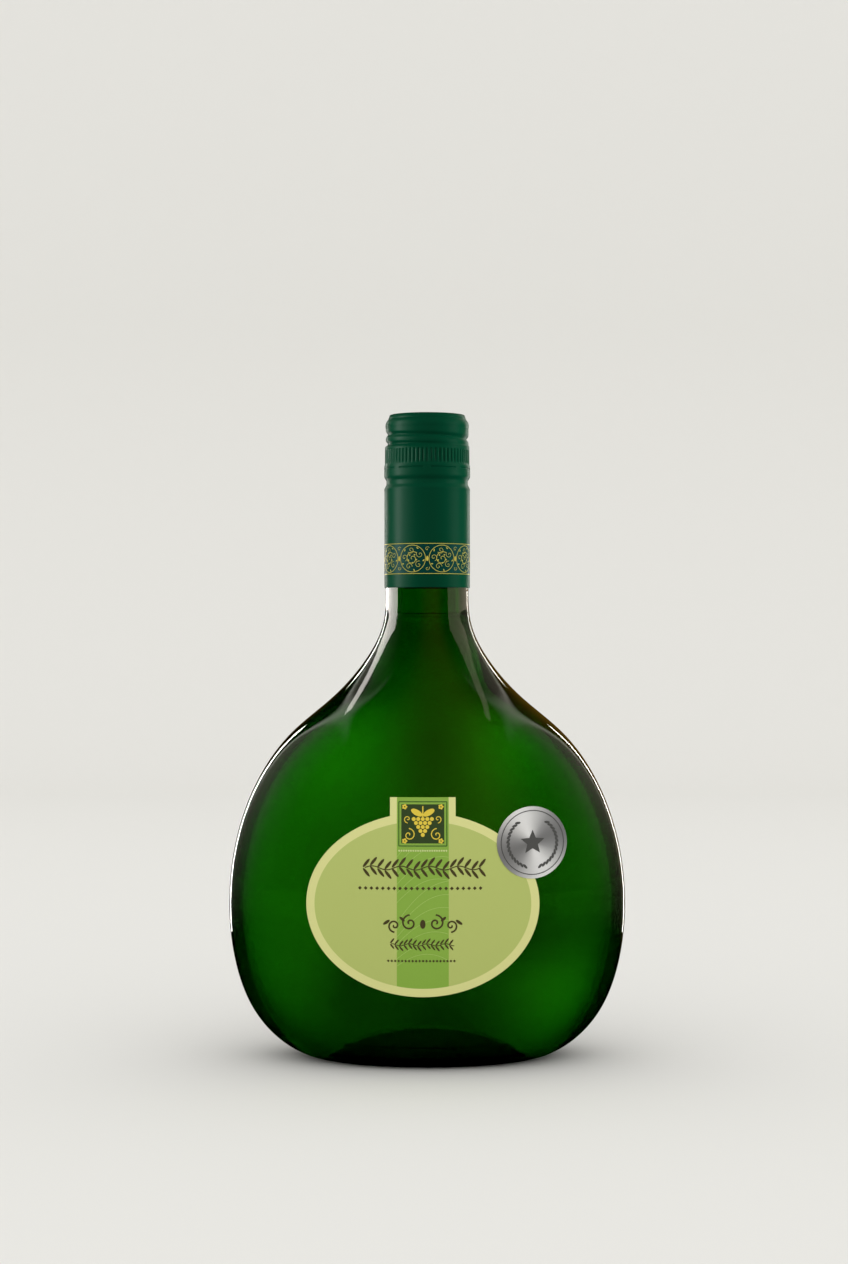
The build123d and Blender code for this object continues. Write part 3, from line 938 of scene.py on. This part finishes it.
def room():
    """World whose colour is chosen by the kind of ray, and for mirrors and glass by its direction.

    Each ramp reads 0.5 + 0.5 times one part of the unit direction, and ramps are multiplied.
    """
    world = bpy.data.worlds.new("studio")
    bpy.context.scene.world = world
    world.use_nodes = True
    tree = world.node_tree
    tree.nodes.clear()
    rays = add_node(tree, "ShaderNodeLightPath")
    direction = add_node(tree, "ShaderNodeTexCoord").outputs["Generated"]
    axes = add_node(tree, "ShaderNodeSeparateXYZ", inputs={0: direction})
    across, depth, upward = (arithmetic(tree, "MULTIPLY", arithmetic(tree, "ADD", axes.outputs[a], 1.0), 0.5)
                             for a in "XYZ")

    def product(*ramps):
        first, *others = (ramp(tree, value, stops) for value, stops in ramps)
        for other in others:
            first = mixed(tree, 1.0, first, other, "MULTIPLY")
        return first

    panels = product((across, SIDE_PANELS), (upward, PANELS_BY_HEIGHT), (depth, PANELS_BY_DEPTH))
    warm = product((across, WARM_ROOM), (upward, WARM_BY_HEIGHT))
    walls = mixed(tree, 1.0, panels, warm, "ADD")
    through = product((upward, THROUGH_BY_HEIGHT), (depth, THROUGH_BY_DEPTH))
    seen = arithmetic(tree, "MULTIPLY", rays.outputs["Is Camera Ray"], BEYOND_SWEEP - SKY_LEVEL)
    even = arithmetic(tree, "ADD", seen, SKY_LEVEL)
    tint = add_node(tree, "ShaderNodeCombineColor", inputs={
        "Red": arithmetic(tree, "DIVIDE", even, WALL_LEVEL),
        "Green": arithmetic(tree, "DIVIDE", even, WALL_LEVEL / SKY_GREEN),
        "Blue": arithmetic(tree, "DIVIDE", even, WALL_LEVEL / SKY_BLUE),
    })
    gloss = mixed(tree, rays.outputs["Is Glossy Ray"], tint.outputs[0], walls)
    shown = mixed(tree, rays.outputs["Is Transmission Ray"], gloss, through)
    shade = add_node(tree, "ShaderNodeBackground", inputs={"Color": shown, "Strength": WALL_LEVEL})
    add_node(tree, "ShaderNodeOutputWorld", inputs={"Surface": shade.outputs[0]})


room()
print("level of the even sky:", SKY_LEVEL)

# %% [markdown]
# ## Strip lights
# Long narrow lamps draw the bright lines that glass and lacquer show. A lamp that would spoil
# the other pieces is linked to the one it is for: two small ones close to the neck light only
# the glass, and four taller ones only the cap. They are seen in gloss alone, apart from the
# cap's two side lamps, which brighten its matt colour and don't show as lights.

# %% Lamps
# Directions are azimuth and elevation in degrees, azimuth 0 being the camera's side. Distance
# and level, the height of the point they are taken from, are in metres, and power is in watts.
WHITE = (1.0, 1.0, 1.0)
FAR, NEAR = {"distance": 0.9, "level": 0.12}, {"distance": 0.06, "level": 0.158}
BESIDE = {"distance": 0.7, "level": 0.12, "pieces": [cap, band]}


def toward(azimuth, elevation):
    """Unit direction (sin a cos e, -cos a cos e, sin e)."""
    a, e = np.radians(azimuth), np.radians(elevation)
    return np.array([np.sin(a) * np.cos(e), -np.cos(a) * np.cos(e), np.sin(e)])


def strip_light(name, start, end, width, power, colour, distance, level, pieces=None, matt=False):
    """Long narrow area lamp between two directions, facing the point they are taken from."""
    low, high = (toward(*direction) * distance for direction in (start, end))
    along = (high - low) / np.linalg.norm(high - low)
    back = (low + high) / np.linalg.norm(low + high)
    across = np.cross(along, back)
    lamp = bpy.data.lights.new(name, "AREA")
    lamp.shape, lamp.size, lamp.size_y = "RECTANGLE", width, float(np.linalg.norm(high - low))
    lamp.energy, lamp.color = power, colour
    holder = bpy.data.objects.new(name, lamp)
    holder.rotation_euler = Matrix(np.stack([across, along, back], 1).tolist()).to_euler()
    holder.location = np.array([0.0, 0.0, level]) + (low + high) / 2
    holder.visible_camera = False
    holder.visible_transmission = False
    holder.visible_diffuse, holder.visible_glossy = matt, not matt
    bpy.context.scene.collection.objects.link(holder)
    if pieces:
        group = bpy.data.collections.new(name + " lights")
        for piece in pieces:
            group.objects.link(piece)
        holder.light_linking.receiver_collection = group


strip_light("left_strip", (-150, -14), (-146, 24), 0.055, 1.5, (1.0, 0.97, 0.92), **FAR)
strip_light("right_strip", (150, -14), (146, 24), 0.05, 0.8, (1.0, 0.97, 0.90), **FAR)
strip_light("neck_light", (-150, 2), (-80, 3), 0.006, 0.0078, (1.0, 0.94, 0.89), pieces=[glass], **NEAR)
strip_light("neck_dim", (52, 3), (143, 2), 0.006, 0.0013, (1.0, 0.82, 0.64), pieces=[glass], **NEAR)
strip_light("cap_sheen", (-84, -12), (-84, 40), 0.22, 5.0, WHITE, **BESIDE)
strip_light("cap_edge", (150, -12), (150, 40), 0.2, 0.5, WHITE, **BESIDE)
strip_light("cap_left", (-66, -10), (-66, 40), 0.4, 20.0, WHITE, matt=True, **BESIDE)
strip_light("cap_right", (84, -10), (84, 40), 0.4, 27.0, WHITE, matt=True, **BESIDE)
print("lamps:", len(bpy.data.lights))

# %% [markdown]
# ## The camera
# It stands level, straight in front of the bottle and lower than the cap's top.

# %% Camera
CAMERA_PLACE, SENSOR_WIDTH, LENS = (-0.0011, -0.790, 0.147), 36.0, 64.6
camera_data = bpy.data.cameras.new("camera")
camera_data.sensor_width, camera_data.lens = SENSOR_WIDTH, LENS
camera = bpy.data.objects.new("camera", camera_data)
camera.location = CAMERA_PLACE
camera.rotation_euler = (np.pi / 2, 0, 0)
bpy.context.scene.collection.objects.link(camera)
bpy.context.scene.camera = camera
bpy.context.scene.view_settings.view_transform = "Standard"
print("camera in metres:", CAMERA_PLACE)
